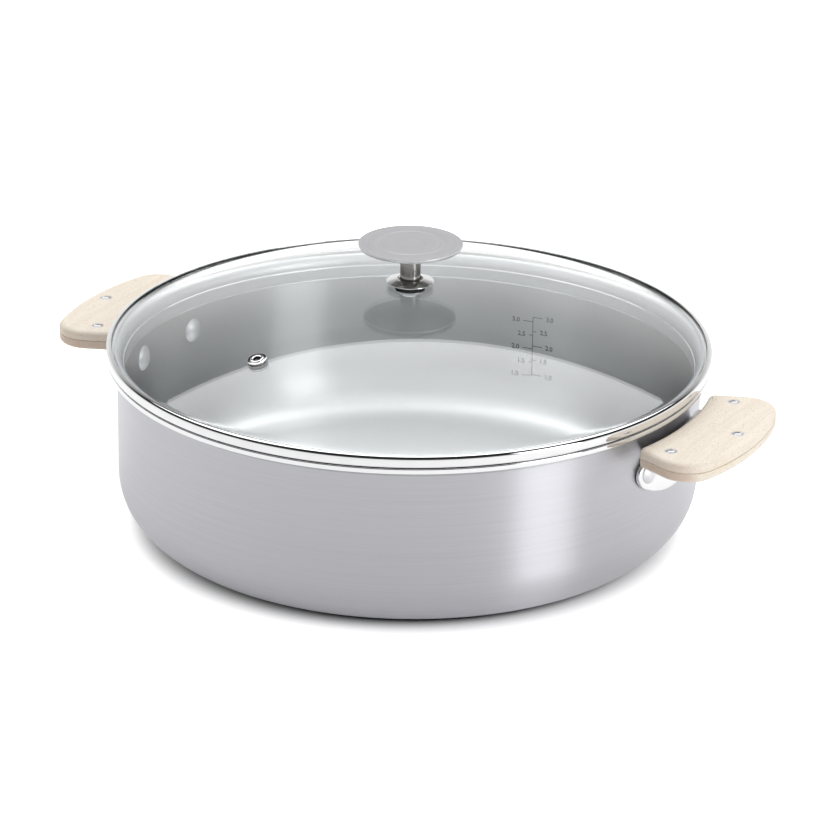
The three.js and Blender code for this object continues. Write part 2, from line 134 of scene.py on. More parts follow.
brushed = {
    "dark": (0.56, 0.56, 0.59), "light": (0.61, 0.61, 0.645), "lip": (0.80, 0.80, 0.81),
    # the inside colour is painted shade on the inner wall, the floor colour painted light on the cooking
    # floor, the last colour a painted shadow under the lip
    "inside": (0.46, 0.465, 0.47), "floor": (0.92, 0.925, 0.935), "underLipShade": (0.3, 0.3, 0.31),
    "insideShadeShare": 0.75, "floorLightShare": 0.9, "underLipShadeShare": 0.6,
    "along": 7.0, "coarse": 800.0, "fine": 2800.0,  # grain per metre round the pan and across it
    "coarseShare": 0.2, "fineShare": 0.8, "floorCalm": 0.8, "bump": 0.1, "bumpDepth": 0.00004,
    "roughness": 0.37, "roughnessSpread": 0.05, "lipRoughness": 0.09,
    "floorRoughness": 0.38, "floorSpread": 0.06, "stretch": 0.94, "grainTurn": 0.25,
    "turnsIn": (-0.2, 0.2),  # how far a face looks in and up
    "floorEdge": (0.124, 0.135), "lipFrom": (0.0838, 0.0846),  # in metres, from the axis and up
    "underLipShadeFrom": (0.0812, 0.0822), "underLipShadeTo": (0.0838, 0.0842),
}


# Pan sheet: turned grain that runs round the pan, plain satin on the cooking floor, polished on the lip;
# painted shade darkens the inner wall and the angle under the lip, painted light brightens the cooking floor
def brushedSteel():
    s = brushed
    material, root = newMaterial("brushedSteel")
    x, y, z = axesOf(root)
    radius = (x * x + y * y) ** 0.5
    coarse = stretchedNoise(root, x * s["along"], y * s["along"], z * s["coarse"], radius * s["coarse"])
    fine = stretchedNoise(root, x * s["along"] * 2, y * s["along"] * 2, z * s["fine"], radius * s["fine"])
    lip = z.between(*s["lipFrom"])
    facing = root.add("SeparateXYZ", None, {"Vector": root.add("TexCoord").pick("Normal")})
    outward = (facing.pick("X") * x + facing.pick("Y") * y) / radius
    inside = (facing.pick("Z") - outward).between(*s["turnsIn"])
    floor = (1 - radius.between(*s["floorEdge"])) * inside
    grain = 0.5 + (coarse * s["coarseShare"] + fine * s["fineShare"] - 0.5) * (1 - s["floorCalm"] * floor)
    sheet = root.add("ValToRGB", {"stops": [(0.3, s["dark"]), (0.7, s["light"])]}, {"Fac": grain})
    # painted shadow: the angle close under the lip is coloured dark
    underLipShade = z.between(*s["underLipShadeFrom"]) * (1 - z.between(*s["underLipShadeTo"])) * (1 - inside)
    # painted shade darkens the inner wall, painted light brightens the cooking floor
    colour = sheet.blendTo((*s["inside"], 1), inside * s["insideShadeShare"])
    colour = colour.blendTo((*s["floor"], 1), floor * s["floorLightShare"])
    colour = colour.blendTo((*s["underLipShade"], 1), underLipShade * s["underLipShadeShare"])
    colour = colour.blendTo((*s["lip"], 1), lip)
    roughness = s["roughness"] - s["roughnessSpread"] * 0.5 + s["roughnessSpread"] * grain
    roughness = roughness * (1 - lip) + s["lipRoughness"] * lip
    bump = root.add("Bump", None, {
        "Strength": s["bump"], "Distance": s["bumpDepth"], "Height": grain * (1 - lip)})
    wall = root.add("BsdfPrincipled", None, {
        "Base Color": colour, "Metallic": 1.0, "Roughness": roughness, "Normal": bump,
        "Anisotropic": s["stretch"], "Anisotropic Rotation": s["grainTurn"]})
    plain = root.add("BsdfPrincipled", None, {
        "Base Color": colour, "Metallic": 1.0,
        "Roughness": s["floorRoughness"] + s["floorSpread"] * (grain - 0.5)})
    shader = root.add("MixShader", None, {0: floor, 1: wall, 2: plain})
    root.add("OutputMaterial", None, {"Surface": shader})
    return material


polished = {
    "colour": (0.76, 0.76, 0.765), "bright": (0.82, 0.82, 0.825), "skirtColour": (0.6, 0.61, 0.64),
    "roughness": 0.045, "scuffs": 130.0, "scuffRoughness": 0.04, "skirtRoughness": 0.34,
    "skirtLow": (0.0752, 0.0758), "skirtTop": (0.0875, 0.0895), "skirtEdge": (0.1405, 0.1425),
    "foldTop": (0.0816, 0.0822), "foldTurn": (0.03, 0.2), "scuffFrom": (0.5, 0.8),
}


# Bright pressed steel with a trace of handling marks, duller on the lid's skirt
def polishedSteel():
    s = polished
    material, root = newMaterial("polishedSteel")
    x, y, z = axesOf(root)
    scuff = stretchedNoise(root, x * s["scuffs"], y * s["scuffs"], z * s["scuffs"], detail=4.0)
    shade = root.add("ValToRGB", {"stops": [(0.3, s["colour"]), (0.8, s["bright"])]}, {"Fac": scuff})
    inside = 1 - ((x * x + y * y) ** 0.5).between(*s["skirtEdge"])
    facing = root.add("SeparateXYZ", None, {"Vector": root.add("TexCoord").pick("Normal")}).pick("Z")
    hemEdge = (facing * facing).between(*s["foldTurn"]) * (1 - z.between(*s["foldTop"]))  # stays bright
    skirt = (1 - z.between(*s["skirtTop"])) * z.between(*s["skirtLow"]) * inside * (1 - hemEdge)
    scuffed = scuff.between(*s["scuffFrom"])
    roughness = s["roughness"] + s["scuffRoughness"] * scuffed + s["skirtRoughness"] * skirt
    colour = shade.blendTo((*s["skirtColour"], 1), skirt)
    shader = root.add("BsdfPrincipled", None, {"Base Color": colour, "Metallic": 1.0, "Roughness": roughness})
    root.add("OutputMaterial", None, {"Surface": shader})
    return material


satin = {
    "dark": (0.68, 0.68, 0.70), "light": (0.79, 0.79, 0.81),
    # the stem colour is painted shade, given to the knob's stem and the disc's underside
    "stem": (0.33, 0.32, 0.305), "disc": (0.71, 0.71, 0.715),
    "spread": 60.0, "rings": 2400.0, "bump": 0.1, "bumpDepth": 0.00003,
    "metallic": 0.8, "roughness": 0.38, "roughnessSpread": 0.1, "stemRoughness": 0.2,
    "level": (0.3, 0.8), "discFrom": (0.139, 0.14), "stemEdge": (0.0052, 0.0058), "stemTop": (0.1399, 0.1402),
}


# Satin steel of the knob and the rivets, faced in fine rings, with painted shade on the knob's stem and the
# disc's underside
def satinSteel():
    s = satin
    material, root = newMaterial("satinSteel")
    x, y, z = axesOf(root)
    radius = (x * x + y * y) ** 0.5
    rings = stretchedNoise(root, x * s["spread"], y * s["spread"], z * s["spread"], radius * s["rings"])
    colour = root.add("ValToRGB", {"stops": [(0.3, s["dark"]), (0.7, s["light"])]}, {"Fac": rings})
    bump = root.add("Bump", None, {"Strength": s["bump"], "Distance": s["bumpDepth"], "Height": rings})
    facing = root.add("SeparateXYZ", None, {"Vector": root.add("TexCoord").pick("Normal")}).pick("Z")
    disc = z.between(*s["discFrom"])
    colour = root.add("Mix", {"data_type": "RGBA", "blend_type": "MULTIPLY"}, {
        "Factor": facing.between(*s["level"]) * disc, "A": colour, "B": (*s["disc"], 1)})
    under = (0 - facing).between(*s["level"]) * disc  # painted shade: the disc's underside takes the stem's dark colour and roughness
    shaft = (1 - radius.between(*s["stemEdge"])) * (1 - z.between(*s["stemTop"]))
    stem = shaft.maths("MAXIMUM", shaft, under)
    roughness = s["roughness"] + (s["stemRoughness"] - s["roughness"]) * stem
    roughness = roughness + s["roughnessSpread"] * (rings - 0.5)
    shader = root.add("BsdfPrincipled", None, {
        "Base Color": colour.blendTo((*s["stem"], 1), stem), "Metallic": s["metallic"],
        "Roughness": roughness, "Normal": bump})
    root.add("OutputMaterial", None, {"Surface": shader})
    return material


beech = {
    "pale": (0.87, 0.80, 0.70), "warm": (0.80, 0.71, 0.59),
    "fleck": (0.55, 0.41, 0.29), "endGrain": (0.60, 0.45, 0.36),
    # grain per metre across and along the handle
    "fibre": (900.0, 60.0), "drift": (40.0, 9.0), "bands": (190.0, 5.0), "fleckSize": (2100.0, 620.0),
    "waver": 5.0, "tone": (0.32, 0.72), "fleckFrom": (0.63, 0.76), "fleckShare": 0.5,
    "endTurn": (0.35, 0.9), "endShare": 0.35, "lowerShare": 0.4, "lowerFrom": (0.0755, 0.0761),
    "roughness": 0.52, "roughnessSpread": 0.12, "gloss": 0.35, "bump": 0.16, "bumpDepth": 0.00012,
    "fibreDepth": 0.7, "fleckDepth": 0.6,
}


# Pale beech: grain along the handle, short dark ray flecks, deeper colour on the cut ends
def beechWood():
    s = beech
    material, root = newMaterial("beechWood")
    x, y, z = axesOf(root)

    def figure(name, detail, waver=0):
        across, along = s[name]
        return stretchedNoise(root, x * across + waver, y * along, z * across, detail=detail)

    fibre = figure("fibre", 3.0)
    bands = figure("bands", 1.0, figure("drift", 1.0) * s["waver"])
    fleck = figure("fleckSize", 0.0).between(*s["fleckFrom"])
    tone = (fibre * 0.5 + bands * 0.5).between(*s["tone"])
    body = root.add("ValToRGB", {"stops": [(0.0, s["pale"]), (1.0, s["warm"])]}, {"Fac": tone})
    facing = root.add("SeparateXYZ", None, {"Vector": root.add("TexCoord").pick("Normal")}).pick("Y")
    cutEnd = (facing * facing).between(*s["endTurn"])
    lower = 1 - z.between(*s["lowerFrom"])  # the lower half shows the deeper ends
    ended = body.blendTo((*s["endGrain"], 1), cutEnd * (s["endShare"] + s["lowerShare"] * lower))
    colour = ended.blendTo((*s["fleck"], 1), fleck * s["fleckShare"])
    height = fibre * s["fibreDepth"] - fleck * s["fleckDepth"]
    bump = root.add("Bump", None, {"Strength": s["bump"], "Distance": s["bumpDepth"], "Height": height})
    roughness = s["roughness"] + s["roughnessSpread"] * (fibre - 0.5)
    shader = root.add("BsdfPrincipled", None, {
        "Base Color": colour, "Roughness": roughness, "Normal": bump, "Specular IOR Level": s["gloss"]})
    root.add("OutputMaterial", None, {"Surface": shader})
    return material


glazing = {"tint": (0.965, 0.985, 0.98), "throughLight": (0.93, 0.96, 0.955), "ior": 1.5}


# Clear lid glass that lets the lamps through to the pan
def lidGlassFinish():
    s = glazing
    material, root = newMaterial("lidGlass")
    glass = root.add("BsdfPrincipled", None, {
        "Base Color": (*s["tint"], 1), "Roughness": 0.0, "IOR": s["ior"], "Transmission Weight": 1.0})
    clear = root.add("BsdfTransparent", None, {"Color": (*s["throughLight"], 1)})
    shadow = root.add("LightPath").pick("Is Shadow Ray")
    shader = root.add("MixShader", None, {0: shadow, 1: glass, 2: clear})
    root.add("OutputMaterial", None, {"Surface": shader})
    return material


silicone = {
    "deep": (0.018, 0.018, 0.019), "dusty": (0.045, 0.045, 0.046), "dust": 900.0,
    "roughness": 0.5, "roughnessSpread": 0.2,
}


# Dark silicone of the seals and gaskets
def rubber():
    s = silicone
    material, root = newMaterial("darkSilicone")
    x, y, z = axesOf(root)
    dust = stretchedNoise(root, x * s["dust"], y * s["dust"], z * s["dust"], detail=2.0)
    colour = root.add("ValToRGB", {"stops": [(0.35, s["deep"]), (0.75, s["dusty"])]}, {"Fac": dust})
    roughness = s["roughness"] + s["roughnessSpread"] * dust
    shader = root.add("BsdfPrincipled", None, {"Base Color": colour, "Roughness": roughness})
    root.add("OutputMaterial", None, {"Surface": shader})
    return material


ink = {
    "dark": (0.03, 0.03, 0.032), "worn": (0.1, 0.1, 0.105), "speck": 2500.0,
    "metallic": 0.3, "roughness": 0.55,
}


# Burnt-in level marks on the inside wall
def markInk():
    s = ink
    material, root = newMaterial("markInk")
    x, y, z = axesOf(root)
    speck = stretchedNoise(root, x * s["speck"], y * s["speck"], z * s["speck"], detail=1.0)
    colour = root.add("ValToRGB", {"stops": [(0.3, s["dark"]), (0.8, s["worn"])]}, {"Fac": speck})
    shader = root.add("BsdfPrincipled", None, {
        "Base Color": colour, "Metallic": s["metallic"], "Roughness": s["roughness"]})
    root.add("OutputMaterial", None, {"Surface": shader})
    return material


finishes = {
    "panSteel": (brushedSteel(), "pan_steel"),
    "polished": (polishedSteel(), "polished_steel"),
    "satin": (satinSteel(), "satin_steel"),
    "beech": (beechWood(), "beech"),
    "glass": (lidGlassFinish(), "clear_glass"),
    "rubber": (rubber(), "silicone"),
    "ink": (markInk(), "pan_steel"),
}
print("finishes mixed:", len(finishes))


drawing = {
    "sharp": 34,  # degrees past which an edge stays sharp
    "merge": 0.0004, "outlineMerge": 0.01, "level": 0.01,  # millimetres that count as nothing
    "cornerCuts": 1.5, "fewestCuts": 4, "mostCuts": 14,  # cuts per millimetre of a corner
    "arcSteps": 24, "drillSides": 48, "ringSides": 96,
}


# Draws a half section from words (start, line, arc about the axis, close) and turns it about Z.
# A line's third number is how far its corner is cut back to be rounded.
def turned(path, segments, arcSteps=drawing["arcSteps"]):
    bm = bmesh.new()
    corners = []
    for word, *values in path:
        if word == "start":
            first = last = bmesh.ops.create_vert(bm, co=(values[0], 0, values[1]))["vert"][0]
        elif word == "line":
            last = bmesh.ops.extrude_vert_indiv(bm, verts=[last])["verts"][0]
            last.co = (values[0], 0, values[1])
            if len(values) > 2:
                corners.append((last, values[2]))
        elif word == "arc":
            made = bmesh.ops.spin(bm, geom=[last], cent=(0, 0, values[0]), axis=(0, 1, 0),
                                  angle=math.radians(values[1]), steps=arcSteps)
            last = next(v for v in made["geom_last"] if isinstance(v, bmesh.types.BMVert))
            if len(values) > 2:
                corners.append((last, values[2]))
        elif word == "close":
            bm.edges.new((last, first))
            if values:
                corners.append((first, values[0]))
    for corner, reach in corners:
        roundCorner(bm, corner, reach)
    bmesh.ops.spin(bm, geom=bm.verts[:] + bm.edges[:], cent=(0, 0, 0), axis=(0, 0, 1),
                   angle=math.tau, steps=segments, use_merge=True)
    bmesh.ops.remove_doubles(bm, verts=bm.verts, dist=drawing["merge"])
    bmesh.ops.recalc_face_normals(bm, faces=bm.faces)
    return bm


def roundCorner(bm, corner, reach):
    s = drawing
    segments = min(s["mostCuts"], max(s["fewestCuts"], int(reach * s["cornerCuts"])))
    bmesh.ops.bevel(bm, geom=[corner], offset=reach, offset_type="OFFSET", segments=segments, profile=0.5,
                    affect="VERTICES", material=-1, clamp_overlap=False)


# Gives a drawn piece its place, finish, body and the nodes that it stands for
def finishPiece(bm, name, finish, body, nodes=(), place=None):
    material, slot = finishes[finish]
    if place is not None:
        bmesh.ops.transform(bm, matrix=place, verts=bm.verts)
    bmesh.ops.scale(bm, vec=(mm, mm, mm), verts=bm.verts)
    mesh = bpy.data.meshes.new(name)
    bm.to_mesh(mesh)
    bm.free()
    mesh.materials.append(material)
    piece = bpy.data.objects.new(name, mesh)
    bpy.context.scene.collection.objects.link(piece)
    softShade(mesh)
    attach(piece, body)
    if nodes:
        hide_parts(*nodes)
    return piece


def softShade(mesh):
    mesh.polygons.foreach_set("use_smooth", [True] * len(mesh.polygons))
    mesh.set_sharp_from_angle(angle=math.radians(drawing["sharp"]))


# Adds a second drawing to a first one
def joinTo(bm, other):
    mesh = bpy.data.meshes.new("joined")
    other.to_mesh(mesh)
    other.free()
    bm.from_mesh(mesh)
    bpy.data.meshes.remove(mesh)


def cutBy(bm, point, normal):
    whole = bm.verts[:] + bm.edges[:] + bm.faces[:]
    bmesh.ops.bisect_plane(bm, geom=whole, plane_co=point, plane_no=normal)


def addDrill(bm, radius, depth, place=Matrix()):
    bmesh.ops.create_cone(bm, cap_ends=True, segments=drawing["drillSides"], radius1=radius, radius2=radius,
                          depth=depth, matrix=place)


# Cuts a shape drawn in millimetres out of a finished piece
def carve(piece, bm, place=None):
    if place is not None:
        bmesh.ops.transform(bm, matrix=place, verts=bm.verts)
    bmesh.ops.scale(bm, vec=(mm, mm, mm), verts=bm.verts)
    bmesh.ops.recalc_face_normals(bm, faces=bm.faces)
    mesh = bpy.data.meshes.new("cutter")
    bm.to_mesh(mesh)
    bm.free()
    cutter = bpy.data.objects.new("cutter", mesh)
    bpy.context.scene.collection.objects.link(cutter)
    cut = piece.modifiers.new("cut", "BOOLEAN")
    cut.operation = "DIFFERENCE"
    cut.solver = "EXACT"
    cut.object = cutter
    carved = bpy.data.meshes.new_from_object(piece.evaluated_get(bpy.context.evaluated_depsgraph_get()))
    piece.modifiers.clear()
    plain, piece.data = piece.data, carved
    carved.name = plain.name
    bpy.data.meshes.remove(plain)
    bpy.data.objects.remove(cutter)
    softShade(carved)


pan = {
    "inner": 139.0, "wall": 2.0, "height": 87.0, "base": 3.5, "corner": 28.5,
    "lipReach": 4.8, "lipBend": 2.6, "lipEdge": 0.55, "segments": 320,
    "bead": 1.5, "beadDrop": 0.8, "beadLean": 0.1, "beadRoot": 0.3, "beadFoot": 0.25, "beadEdge": 0.6,
}
panOuter = pan["inner"] + pan["wall"]
panInnerCorner = pan["corner"] - pan["wall"]


def makePan():
    s = pan
    lip = panOuter + s["lipReach"]
    under = s["height"] - s["wall"]
    shell = turned([
        ("start", 0, 0),
        ("line", panOuter, 0, s["corner"]),
        ("line", panOuter, under, s["lipBend"]),
        ("line", lip - s["bead"], under, s["beadRoot"]),
        ("line", lip - s["bead"] + s["beadLean"], under - s["beadDrop"], s["beadFoot"]),
        ("line", lip, under - s["beadDrop"], s["beadEdge"]),
        ("line", lip, s["height"], s["lipEdge"]),
        ("line", s["inner"], s["height"], s["lipBend"] + s["wall"]),
        ("line", s["inner"], s["base"], panInnerCorner),
        ("line", 0, s["base"]),
    ], s["segments"])
    finishPiece(shell, "panShell", "panSteel", "pan", ["pan_body"])
    print("pan turned")


makePan()


levels = {
    "azimuth": 91.5, "numbers": (1.0, 1.5, 2.0, 2.5, 3.0), "between": 0.5,
    "top": 57.9, "step": 7.9, "fall": 0.88,  # the left marks lie lower by this for each litre
    "lift": 0.05, "thick": 0.05, "line": 0.42, "longTick": 5.4, "shortTick": 2.1,
    "gap": 4.2, "letters": 3.5, "bold": 0.1, "lineCuts": 16, "tickCuts": 4,
}


# Inside radius of the pan at a height, round its lower corner too
def insideRadius(height):
    start = pan["base"] + panInnerCorner
    if height >= start:
        return pan["inner"]
    return pan["inner"] - panInnerCorner + math.sqrt(panInnerCorner ** 2 - (start - height) ** 2)


# Lays a flat drawing (x across, y up, z out of the sheet) on the inside wall
def layOnWall(bm):
    for vert in bm.verts:
        across, height, out = vert.co
        radius = insideRadius(height) - levels["lift"] - out
        angle = math.radians(levels["azimuth"]) - across / pan["inner"]
        vert.co = (radius * math.cos(angle), radius * math.sin(angle), height)


def addNumber(bm, number, across, height):
    text = bpy.data.curves.new("number", "FONT")
    text.body = f"{number:.1f}"
    text.size = levels["letters"]
    text.extrude = levels["thick"] / 2
    text.offset = levels["bold"]
    text.align_x = "CENTER"
    text.align_y = "CENTER"
    writing = bpy.data.objects.new("number", text)
    bpy.context.scene.collection.objects.link(writing)
    mesh = bpy.data.meshes.new_from_object(writing.evaluated_get(bpy.context.evaluated_depsgraph_get()))
    mesh.transform(Matrix.Translation((across, height, 0)))
    bm.from_mesh(mesh)
    bpy.data.objects.remove(writing)
    bpy.data.curves.remove(text)
    bpy.data.meshes.remove(mesh)


# A stroke, cut up so that it can follow the wall
def makeBar(across, height, width, tall, cutsAcross, cutsUp):
    bm = bmesh.new()
    place = Matrix.Translation((across, height, 0)) @ Matrix.Diagonal((width, tall, levels["thick"], 1))
    bmesh.ops.create_cube(bm, size=1, matrix=place)
    low = Vector((across - width / 2, height - tall / 2, 0))
    for count, normal, length in ((cutsAcross, (1, 0, 0), width), (cutsUp, (0, 1, 0), tall)):
        for i in range(1, count):
            cutBy(bm, low + Vector(normal) * length * i / count, normal)
    return bm


def makeLevels():
    s = levels
    marks = bmesh.new()
    first, last = s["numbers"][0], s["numbers"][-1]
    bottom = s["top"] - s["step"] * (len(s["numbers"]) - 1) - s["fall"] * first
    bars = [(0, (s["top"] + bottom) / 2, s["line"], s["top"] - bottom, 1, s["lineCuts"])]
    numbers = []
    for number in s["numbers"]:
        tick = s["longTick"] if number == int(number) else s["shortTick"]
        height = s["top"] - s["step"] * (last - number) / s["between"]
        for side, drop in ((1, 0), (-1, s["fall"] * number)):
            bars.append((side * tick / 2, height - drop, tick, s["line"], s["tickCuts"], 1))
            numbers.append((number, side * (tick + s["gap"]), height - drop))
    for bar in bars:
        joinTo(marks, makeBar(*bar))
    for number in numbers:
        addNumber(marks, *number)
    layOnWall(marks)
    bmesh.ops.recalc_face_normals(marks, faces=marks.faces)
    finishPiece(marks, "levelMarks", "ink", "pan")
    print("level marks laid:", len(numbers), "numbers")


makeLevels()


lid = {
    "rim": 146.0, "sheet": 0.6, "rimLow": 87.3, "rimTop": 92.95, "rimShoulder": 92.45,
    "rimCorner": 1.25, "rimFoot": 1.1, "hem": 143.5, "hemTop": 0.24, "hemUnder": 0.18,
    "skirt": 138.0, "skirtLow": 74.5, "skirtBend": 4.9, "skirtFoot": 0.495,
    "fold": 1.2, "foldTop": 81.4, "foldSlope": 0.15, "foldRoot": 0.1, "foldRound": 0.45, "foldFoot": 0.6,
    "glassEdge": 144.6, "glassSeat": 88.7, "glassEdgeTop": 92.2, "glassRound": 0.9, "glassEase": 1.1,
    "glass": 3.5, "hole": 2.8, "domeStart": 141.9, "domeTop": 121.6, "domeSteps": 44,
    "seal": 0.5, "sealRound": 0.15, "sealRoot": 0.1, "bed": 0.15, "segments": 256,
}
domeRise = lid["domeTop"] - lid["glassEdgeTop"]
domeRadius = (lid["domeStart"] ** 2 + domeRise ** 2) / (2 * domeRise)
domeCentre = lid["domeTop"] - domeRadius


def onDome(radius, size):
    return domeCentre + math.sqrt(size ** 2 - radius ** 2)


def domeDegrees(radius, size):
    return math.degrees(math.asin(radius / size))


vent = {
    "radius": 97.9, "azimuth": -107.5, "hole": 3.1, "drill": 24.0,
    "bore": 1.75, "boreRound": 0.3, "tube": 2.8, "tubeRoot": 0.1,
    "flange": 4.7, "lift": 0.3, "flangeTop": 0.75, "flangeUnder": 0.15, "flangeRound": 0.28,
    "lip": 3.1, "lipTop": 1.1, "lipLean": 0.15, "lipSink": 0.12, "lipRoot": 0.08,
    "washer": 4.8, "washerTop": -3.8, "washerLow": -4.4, "washerRound": 0.2, "slack": 0.3,
    "flare": 3.9, "flareTop": -4.7, "flareLow": -5.5, "flareRound": 0.35, "segments": 72,
}


def ventPlace():
    radius, azimuth = vent["radius"], math.radians(vent["azimuth"])
    tilt = math.asin(radius / domeRadius)
    place = Vector((radius * math.cos(azimuth), radius * math.sin(azimuth), onDome(radius, domeRadius)))
    return Matrix.Translation(place) @ Matrix.Rotation(azimuth, 4, "Z") @ Matrix.Rotation(tilt, 4, "Y")


def makeLid():
    s = lid
    inside = s["rim"] - s["sheet"]
    webTop = s["rimLow"] + s["sheet"]
    rim = turned([
        ("start", s["skirt"], s["skirtLow"]),
        ("line", s["skirt"], s["rimLow"], s["skirtBend"]),
        ("line", s["rim"], s["rimLow"], s["rimFoot"]),
        ("line", s["rim"], s["rimShoulder"], s["rimCorner"]),
        ("line", s["hem"], s["rimTop"], s["hemTop"]),
        ("line", s["hem"], s["rimTop"] - s["sheet"], s["hemUnder"]),
        ("line", inside, s["rimShoulder"] - s["sheet"], s["sheet"]),
        ("line", inside, webTop, s["sheet"]),
        ("line", s["skirt"] - s["sheet"], webTop, s["skirtBend"] + s["sheet"]),
        ("line", s["skirt"] - s["sheet"], s["foldTop"] + s["foldSlope"], s["foldRoot"]),
        ("line", s["skirt"] - s["fold"], s["foldTop"], s["foldRound"]),
        ("line", s["skirt"] - s["fold"], s["skirtLow"], s["foldFoot"]),
        ("close", s["skirtFoot"]),
    ], 2 * s["segments"])
    finishPiece(rim, "lidRim", "polished", "lid", ["lid_rim"])

    low = webTop + s["bed"]
    outer = inside - s["bed"]
    seal = turned([
        ("start", s["skirt"] + s["skirtBend"], low),
        ("line", outer, low, s["seal"]),
        ("line", outer, s["glassEdgeTop"] - s["seal"], s["sealRound"]),
        ("line", outer - s["seal"], s["glassEdgeTop"] - s["seal"], s["sealRound"]),
        ("line", outer - s["seal"], low + s["seal"], s["sealRoot"]),
        ("line", s["skirt"] + s["skirtBend"], low + s["seal"], s["sealRound"]),
        ("close", s["sealRound"]),
    ], s["segments"])
    finishPiece(seal, "edgeSeal", "rubber", "lid", ["rim_seal"])

    inner = domeRadius - s["glass"]
    innerEnd = math.sqrt(inner ** 2 - (s["glassSeat"] - domeCentre) ** 2)
    outerSwing = domeDegrees(s["domeStart"], domeRadius) - domeDegrees(s["hole"], domeRadius)
    pane = turned([
        ("start", s["hole"], onDome(s["hole"], domeRadius)),
        ("arc", domeCentre, outerSwing, s["glassEase"]),
        ("line", s["glassEdge"], s["glassEdgeTop"], s["glassRound"]),
        ("line", s["glassEdge"], s["glassSeat"], s["glassRound"]),
        ("line", innerEnd, s["glassSeat"], s["glassEase"]),
        ("arc", domeCentre, domeDegrees(s["hole"], inner) - domeDegrees(innerEnd, inner)),
        ("close",),
    ], s["segments"], arcSteps=s["domeSteps"])
    glass = finishPiece(pane, "lidGlass", "glass", "lid", ["lid_glass"])
    drill = bmesh.new()
    addDrill(drill, vent["hole"], vent["drill"])
    carve(glass, drill, ventPlace())
    print("lid rim, seal and glass made")


makeLid()


def plainRing(inner, outer, low, top, rounding, segments=drawing["ringSides"]):
    return turned([
        ("start", inner, low),
        ("line", outer, low, rounding),
        ("line", outer, top, rounding),
        ("line", inner, top, rounding * 0.5),
        ("close", rounding * 0.5),
    ], segments)


def makeVent():
    s = vent
    eyelet = turned([
        ("start", s["bore"], s["lipTop"]),
        ("line", s["bore"], s["flareLow"], s["boreRound"]),
        ("line", s["flare"], s["flareLow"], s["flareRound"]),
        ("line", s["flare"], s["flareTop"], s["flareRound"]),
        ("line", s["tube"], s["flareTop"], s["tubeRoot"]),
        ("line", s["tube"], s["lift"]),
        ("line", s["flange"], s["lift"], s["flangeUnder"]),
        ("line", s["flange"], s["flangeTop"], s["flangeRound"]),
        ("line", s["lip"] + s["lipLean"], s["flangeTop"] - s["lipSink"], s["lipRoot"]),
        ("line", s["lip"], s["lipTop"], s["boreRound"]),
        ("close", s["boreRound"]),
    ], s["segments"])
    finishPiece(eyelet, "ventEyelet", "polished", "lid", ["vent_eyelet"], ventPlace())
    inner = s["tube"] + s["slack"]
    washer = plainRing(inner, s["washer"], s["washerLow"], s["washerTop"], s["washerRound"], s["segments"])
    finishPiece(washer, "ventWasher", "rubber", "lid", ["vent_washer"], ventPlace())
    print("vent set")


makeVent()


knob = {
    "disc": 25.0, "discLow": 140.4, "discTop": 142.3, "discEdge": 0.3, "discUnder": 1.2, "discSides": 192,
    "ring": 16.4, "ringWidth": 0.6, "ringDepth": 0.1, "ringEdge": 0.1,
    "stem": 5.0, "stemLow": 123.35, "stemTop": 140.25, "stemFoot": 0.3, "stemNeck": 0.25, "stemSides": 96,
    "baseLow": 122.4, "baseFloor": 123.2, "floorRound": 0.4, "baseSides": 128, "foot": 8.5, "footRound": 0.3,
    "flare": 11.45, "flareLow": 122.6, "flareTop": 123.1, "flareUnder": 0.15, "flareRound": 0.2,
    "coneTop": 124.4, "mouth": 6.1, "brim": 0.5, "brimOuter": 0.25, "brimInner": 0.2,
    # outer radius, low, top and rounding of each ring in the stack
    "gasket": (7.5, 121.75, 122.25, 0.3),
    "seal": (7.4, 117.07, 117.87, 0.25),
    "washer": (7.5, 116.12, 116.92, 0.2),
    "headTop": 115.97, "headLow": 113.37, "head": 4.75, "headEdge": 0.15,
    "crown": 0.6, "crownRise": 0.15, "crownRound": 1.0,  # crown is a share of the head
    "cheekRise": 1.1, "cheekRound": 0.7, "screw": 2.5, "screwTop": 135.35, "screwEnd": 0.4, "screwSides": 64,
    "slot": (5.2, 1.1, 2.2),  # long, wide, deep
}


